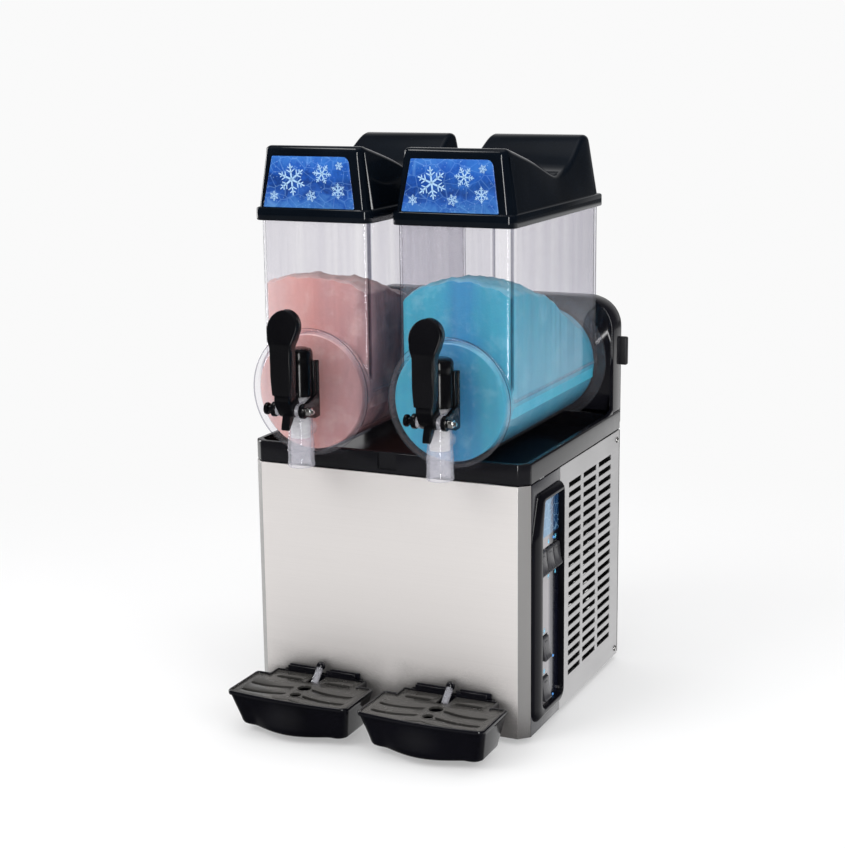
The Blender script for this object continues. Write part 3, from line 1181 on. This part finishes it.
def tray_plan(w, yc, bow, bump, yr, r, x0=54.0, nf=40, nc=7):
    """Outline of a tray level: half-width w, front corners at yc, bowed out by bow, a bulge of bump in the middle, back at yr."""
    def fy(x):
        return yc - bow * (1 - (x / w) ** 2) - bump * max(0.0, 1 - (x / x0) ** 2) ** 1.25

    P = []
    for i in range(nf + 1):
        x = -(w - r) + 2 * (w - r) * i / nf
        P.append((x, fy(x)))
    e = fy(w - r)
    P += arc(w - r, e + r, r, -90, 0, nc)[1:]
    P += arc(w - 4, yr - 4, 4, 0, 90, nc)
    P += arc(-w + 4, yr - 4, 4, 90, 180, nc)
    P += arc(-w + r, e + r, r, 180, 270, nc)[:-1]
    return P


def tray(side):
    b = "drip_tray_" + side
    lo, hi = mmbox(b)
    tx = (lo[0] + hi[0]) / 2
    hw = (hi[0] - lo[0]) / 2
    YF = lo[1]
    zt = 52.0

    def ring(w, yc, bow, bump, yr, r, z):
        return [(tx + p[0], p[1], z) for p in tray_plan(w, yc, bow, bump, yr, r)]

    out = []
    # from the floor up to the rim: level t = 0 at the bottom, 1 under the rim
    for t, z, ins in ((0.0, 2.2, 7.0), (0.0, 2.6, 3.4), (0.0, 4.2, 1.2), (0.02, 7.0, 0.0), (0.15, 13, 0), (0.35, 21, 0), (0.55, 29, 0), (0.75, 37, 0), (0.90, 43, 0), (0.97, 46, 0)):
        s = t * t * (3 - 2 * t) * 0.5 + t * 0.5
        out.append(ring(hw - 9 * (1 - t) - ins - 0.9, YF + 20 - 13.2 * t + ins + 0.9 * t, 0.8 + 5.0 * s, 14.2 * (1 - s), -38 + 7.0 * t - ins, 12.0, z))
    for ins, z in ((0.35, 46.8), (0.0, 47.6), (0.0, 50.6), (0.5, 51.6), (1.3, 52.1), (2.5, 52.1), (3.4, 51.5), (3.7, 50.4), (3.7, 46.9), (4.8, 46.7), (5.0, 44.5)):
        out.append(ring(hw - ins, YF + 6.2 + ins, 6.0, 0, -30.2 - ins, 9.5 - ins * 0.6, z))
    for t, z in ((0.75, 36), (0.4, 22), (0.1, 9), (0.0, 6.2)):
        out.append(ring(hw - 9 * (1 - t) - 4.2, YF + 20 - 13.2 * t + 3.6, 0.8 + 5 * t, 13 * (1 - t), -38 + 7 * t - 3, 9.0, z))
    out.append(ring(hw - 22, YF + 30, 0.8, 9, -46, 7.0, 5.6))
    o = loft(b + "_pan", out)
    # neck that carries the back of the grate
    nk = rbox("e", tx - 67, tx + 67, -37, -10.0, 30, zt, 1.3, 3)
    foot = rbox("e", tx - 58, tx + 58, -14, -2.7, 30.4, zt - 0.4, 1.2, 3)
    boolean(nk, foot, "UNION")
    boolean(nk, rbox("c", tx - 64.3, tx + 64.3, -60, -12.5, 33, zt + 6, 0))
    boolean(nk, rbox("c", tx - 55.5, tx + 55.5, -9.6, -5.2, 33, zt + 6, 0))
    boolean(o, rbox("c", tx - 64.3, tx + 64.3, -40, -26, 33, zt + 6, 0))
    for e in (-1, 1):
        a, c = tx + e * 7.5, tx + e * 50
        lp = rbox("l", min(a, c), max(a, c), -12.3, -10, 46, 58.5, 0.9, 3)
        boolean(nk, lp, "UNION")
    join([o, nk])
    finish_piece(o, "tray_black", b, [b], 34)

    # grate
    g = "tray_grate_" + side
    gz1 = 50.3
    P = [(tx + p[0], p[1]) for p in tray_plan(hw - 3.9, YF + 6.2 + 3.9, 6.0, 0, -33.0, 7.4)]
    q = prism(g + "_plate", P, "z", gz1 - 3.0, gz1)
    nq = prism("n", [(tx - 64, -50), (tx + 64, -50), (tx + 64, -13.0), (tx - 64, -13.0)], "z", gz1 - 3.0, gz1)
    boolean(q, nq, "UNION")
    cuts = []

    def slot(pts):
        cuts.append(prism("c", [(tx + p[0], p[1]) for p in pts], "z", gz1 - 8, gz1 + 4))

    def strip(line, h):
        up, dn = [], []
        m = len(line)
        for i, (x, y) in enumerate(line):
            k = h * (0.45 if i in (0, m - 1) else 1.0)
            up.append((x, y + k))
            dn.append((x, y - k))
        return up + dn[::-1]

    inner = [(13.0, -62.6), (16, -64.4), (28, -67.9), (42, -70.2), (55, -70.8), (66, -69.6), (72, -68.0), (74.5, -67.0)]
    outer = [(12.0, -87.0), (15, -88.7), (28, -92.4), (42, -94.6), (55, -95.2), (66, -94.2), (72, -93.0), (74.5, -92.2)]
    for e in (-1, 1):
        for line in (inner, outer):
            slot(strip([(e * x, y) for x, y in line], 3.4))
        slot([(e * 18, -38.0), (e * 50, -38.4), (e * 54, -36.0), (e * 54, -32.6), (e * 51, -30.4), (e * 20, -30.2), (e * 17, -32.6), (e * 17, -36)])
        slot([(e * 0.6, -103.0), (e * 6, -105.8), (e * 13, -107.2), (e * 21, -107.8), (e * 14, -109.0), (e * 7, -108.4), (e * 0.6, -105.6)])
    slot(arc(1.5, -61, 9.2, 0, 348, 30))
    slot(arc(2.0, -86.5, 7.2, 0, 345, 23))
    slot([(-8.5, -41), (8.5, -41), (8.5, -5), (-8.5, -5)])
    for c in cuts:
        boolean(q, c)
    bevel(q, 0.5, 2, 50)
    r1 = lathe("r", [(9.5, gz1 - 0.3), (9.8, gz1 + 0.35), (10.4, gz1 + 0.5), (11.2, gz1 + 0.35), (11.5, gz1 - 0.3)], "z", (tx + 1.5, -61, 0), 40, True)
    r2 = lathe("r", [(7.5, gz1 - 0.3), (7.8, gz1 + 0.3), (8.4, gz1 + 0.45), (9.0, gz1 + 0.3), (9.2, gz1 - 0.3)], "z", (tx + 2.0, -86.5, 0), 32, True)
    join([q, r1, r2])
    finish_piece(q, "grate_black", g, [g], 30)

    # float: black ball on a clear leaning tube
    f = "tray_float_" + side
    ball = lathe(f + "_ball", [(0, -6.2), (2.6, -5.7), (4.7, -4.0), (5.9, -1.6), (6.0, 1.2), (5.0, 3.7), (3.0, 5.5), (0, 6.2)], "z", (tx, -12, 64), 32)
    finish_piece(ball, "tray_black", f, [f], 40)
    stem = tube(f + "_stem", [(tx, -32, 46), (tx, -31.6, 46.4), (tx, -22, 55), (tx, -14.4, 61.8)], 4.6, 20)
    finish_piece(stem, "spout_clear", f, [], 40)


def hangers():
    parts = []
    for side in ("left", "right"):
        lo, hi = mmbox("drip_tray_" + side)
        tx = (lo[0] + hi[0]) / 2
        for e in (-1, 1):
            a, b = tx + e * 9, tx + e * 52.5
            parts.append(rbox("h", min(a, b), max(a, b), -2.2, -0.1, 44, 57, 0.9, 3))
        parts.append(rbox("h", tx - 10, tx + 10, -2.0, -0.1, 44, 50, 0.5, 2))
    o = join(parts, "tray_hanger_strips")
    finish_piece(o, "black_gloss", "cabinet", ["tray_hangers"], 35)


# ------------------------------------------------------------------ build all
front_panel()
louvre_panel("side_skin_right", "side_panel_right", 1, 116.3, 356.2, "stainless_side")
louvre_panel("side_skin_left", "side_panel_left", -1, 13.2, 356.2, "stainless_side")
rear_panel()
screws()
deck()
tower()
column()
bezel()
for i, n in enumerate(("rocker_auger_left", "rocker_auger_right", "rocker_chill", "rocker_power", "rocker_light")):
    rocker(i, n)
icons()
for side, cx in SIDES:
    bowl(side, cx)
    slush(side, cx)
    lid(side, cx)
    sign(side, cx)
    tap(side, cx)
    spring(side, cx)
    tray(side)
hangers()

# carried-over CAD nodes: finishes and softened edges
for n, o in NODES.items():
    if o.hide_render:
        continue
    s = SLOT[n]
    o.data.materials.clear()
    o.data.materials.append(MATS[s])
    for p in o.data.polygons:
        p.use_smooth = False
    if n in ("feet", "compressor", "fan_blade", "auger_left", "auger_right", "power_inlet", "gearmotors"):
        m = o.modifiers.new("soft", "BEVEL")
        m.width = 0.0006
        m.segments = 2
        m.limit_method = "ANGLE"
        m.angle_limit = math.radians(40)

# ------------------------------------------------------------------ stage, light, camera
sc = bpy.context.scene
sc.view_settings.view_transform = "Standard"
sc.view_settings.look = "None"
sc.cycles.use_denoising = True
sc.cycles.max_bounces = 10
sc.cycles.transparent_max_bounces = 24
sc.cycles.glossy_bounces = 4
sc.cycles.diffuse_bounces = 3
sc.cycles.sample_clamp_indirect = 4.0

# floor: pale, fading into the backdrop far away
fm = Mat("pale_floor")
geo = fm.xyz()
d = fm.math("SQRT", fm.math("ADD", fm.math("MULTIPLY", geo[0], geo[0]), fm.math("MULTIPLY", geo[1], geo[1])))
fd = fm.bsdf(fm.mix(fm.noise(fm.co(), 3, 3), (0.845, 0.845, 0.845), (0.86, 0.86, 0.86)), 0.9, 0)
fd.inputs["Specular IOR Level"].default_value = 0.1
fe = fm.n("ShaderNodeEmission")
fe.inputs[0].default_value = (0.955, 0.955, 0.955, 1)
fmx = fm.n("ShaderNodeMixShader")
fm.put(fmx.inputs[0], fm.rng(d, 0.45, 1.5, 0.35, 1.0, True))
fm.l(fd.outputs[0], fmx.inputs[1])
fm.l(fe.outputs[0], fmx.inputs[2])
# mirrors see it bright only at a low angle, as a studio table falls off towards its front edge
flp = fm.n("ShaderNodeLightPath")
fgn = fm.n("ShaderNodeNewGeometry")
fsx = fm.n("ShaderNodeSeparateXYZ")
fm.l(fgn.outputs["Incoming"], fsx.inputs[0])
fsl = fm.math("ABSOLUTE", fsx.outputs[2])
fge = fm.n("ShaderNodeEmission")
fm.l(fm.ramp(fsl, [(0.0, (0.05, 0.05, 0.05)), (0.13, (0.09, 0.09, 0.09)), (0.18, (0.85, 0.85, 0.85)), (0.42, (0.85, 0.85, 0.85)), (0.52, (0.45, 0.45, 0.45)), (0.66, (0.10, 0.10, 0.10)), (1.0, (0.07, 0.07, 0.07))]), fge.inputs[0])
fm.put(fge.inputs[1], fm.rng(fsx.outputs[1], 0.25, -0.25, 0.24, 1.15, True))
fmg = fm.n("ShaderNodeMixShader")
fm.l(flp.outputs["Is Glossy Ray"], fmg.inputs[0])
fm.l(fmx.outputs[0], fmg.inputs[1])
fm.l(fge.outputs[0], fmg.inputs[2])
fm.done(fmg)
S = 12.0
fme = bpy.data.meshes.new("floor")
fme.from_pydata([(-S, -S, 0), (S, -S, 0), (S, S, 0), (-S, S, 0)], [], [(0, 1, 2, 3)])
floor = bpy.data.objects.new("floor", fme)
floor.data.materials.append(fm.m)
COL.objects.link(floor)

# world: plain white to the camera, a soft dome for diffuse light, and for mirrors a dark room with a lit wall behind
wd = bpy.data.worlds.new("studio")
sc.world = wd
wd.use_nodes = True
wt = wd.node_tree
wt.nodes.clear()


def wn(kind, **kw):
    nd = wt.nodes.new(kind)
    for k, v in kw.items():
        setattr(nd, k, v)
    return nd


def wramp(sock, stops):
    cr = wn("ShaderNodeValToRGB")
    e = cr.color_ramp.elements
    while len(e) < len(stops):
        e.new(0.5)
    for i, (p, v) in enumerate(stops):
        e[i].position = p
        e[i].color = (v, v, v * 1.01, 1)
    wt.links.new(sock, cr.inputs[0])
    return cr.outputs[0]


def wmap(sock, a, b):
    mr = wn("ShaderNodeMapRange")
    mr.inputs[1].default_value = a
    mr.inputs[2].default_value = b
    wt.links.new(sock, mr.inputs[0])
    return mr.outputs[0]


wo = wn("ShaderNodeOutputWorld")
lp = wn("ShaderNodeLightPath")
tc = wn("ShaderNodeTexCoord")
sx = wn("ShaderNodeSeparateXYZ")
wt.links.new(tc.outputs["Generated"], sx.inputs[0])
el = wmap(sx.outputs[2], -1, 1)
dome = wramp(el, [(0.0, 0.95), (0.46, 0.95), (0.52, 0.80), (0.62, 0.62), (0.80, 0.62), (1.0, 0.9)])
dark = wramp(el, [(0.0, 0.08), (0.14, 0.10), (0.24, 0.45), (0.30, 0.85), (0.42, 0.85), (0.445, 0.05), (0.60, 0.03), (0.80, 0.03), (0.90, 0.10), (1.0, 0.6)])
wall = wramp(el, [(0.0, 0.9), (0.48, 0.9), (0.53, 0.75), (0.62, 0.55), (0.80, 0.35), (1.0, 0.6)])
dt = wn("ShaderNodeVectorMath", operation="DOT_PRODUCT")
wt.links.new(tc.outputs["Generated"], dt.inputs[0])
dt.inputs[1].default_value = (-0.42, 0.907, 0)
behind = wmap(dt.outputs["Value"], 0.70, 0.93)
mx1 = wn("ShaderNodeMix", data_type="RGBA")
wt.links.new(behind, mx1.inputs[0])
wt.links.new(dark, mx1.inputs[6])
wt.links.new(wall, mx1.inputs[7])


def wbg(col, k=1.0):
    b = wn("ShaderNodeBackground")
    if isinstance(col, tuple):
        b.inputs[0].default_value = col
    else:
        wt.links.new(col, b.inputs[0])
    b.inputs[1].default_value = k
    return b.outputs[0]


m_a = wn("ShaderNodeMixShader")
wt.links.new(lp.outputs["Is Glossy Ray"], m_a.inputs[0])
wt.links.new(wbg(dome), m_a.inputs[1])
wt.links.new(wbg(mx1.outputs[2]), m_a.inputs[2])
m_b = wn("ShaderNodeMixShader")
wt.links.new(lp.outputs["Is Camera Ray"], m_b.inputs[0])
wt.links.new(m_a.outputs[0], m_b.inputs[1])
wt.links.new(wbg((0.955, 0.955, 0.955, 1)), m_b.inputs[2])
wt.links.new(m_b.outputs[0], wo.inputs[0])


def area(name, loc, target, size, power, glossy=True, size_y=None, color=(1, 1, 1), diffuse=True):
    l = bpy.data.lights.new(name, "AREA")
    l.energy = power
    l.size = size
    l.color = color
    if size_y:
        l.shape = "RECTANGLE"
        l.size_y = size_y
    o = bpy.data.objects.new(name, l)
    COL.objects.link(o)
    o.location = loc
    o.rotation_euler = (Vector(target) - Vector(loc)).to_track_quat("-Z", "Y").to_euler()
    o.visible_glossy = glossy
    o.visible_diffuse = diffuse
    o.visible_camera = False
    return o


area("key_soft", (-1.6, -2.4, 2.6), (0, 0, 0.4), 2.2, 62, False)
area("fill_right", (2.6, -1.2, 1.8), (0, 0, 0.4), 2.0, 34, False)
area("top_soft", (0.2, 0.3, 3.0), (0, 0, 0.5), 2.4, 30, False)
# softboxes that only mirrors see: they draw the white lines down the rounded corners
area("box_cam", (1.10, -2.2, 0.95), (0, 0, 0.65), 0.30, 34, True, 1.9, diffuse=False)
area("box_left", (-2.2, 0.55, 0.95), (0, 0, 0.65), 0.30, 16, True, 1.7, diffuse=False)
area("box_top", (-0.95, -0.5, 2.8), (0, 0, 0.75), 1.2, 9, True, 0.35, diffuse=False)

cam_d = bpy.data.cameras.new("cam")
cam = bpy.data.objects.new("cam", cam_d)
COL.objects.link(cam)
sc.camera = cam
cam_d.sensor_width = 36.0
cam_d.sensor_fit = "AUTO"
cam_d.lens = 1751.137 * 36.0 / 849.0
A, E, RL = math.radians(24.815), math.radians(12.473), math.radians(-0.694)
back = Vector((math.sin(A) * math.cos(E), -math.cos(A) * math.cos(E), math.sin(E)))
right = Vector((math.cos(A), math.sin(A), 0))
up = back.cross(right)
Rv = right * math.cos(RL) + up * math.sin(RL)
Uv = -right * math.sin(RL) + up * math.cos(RL)
eye = W((-39.081, 200.0, 353.252)) + back * 2.428659
cam.matrix_world = Matrix(((Rv.x, Uv.x, back.x, eye.x), (Rv.y, Uv.y, back.y, eye.y), (Rv.z, Uv.z, back.z, eye.z), (0, 0, 0, 1)))
cam_d.clip_start = 0.05
cam_d.clip_end = 60
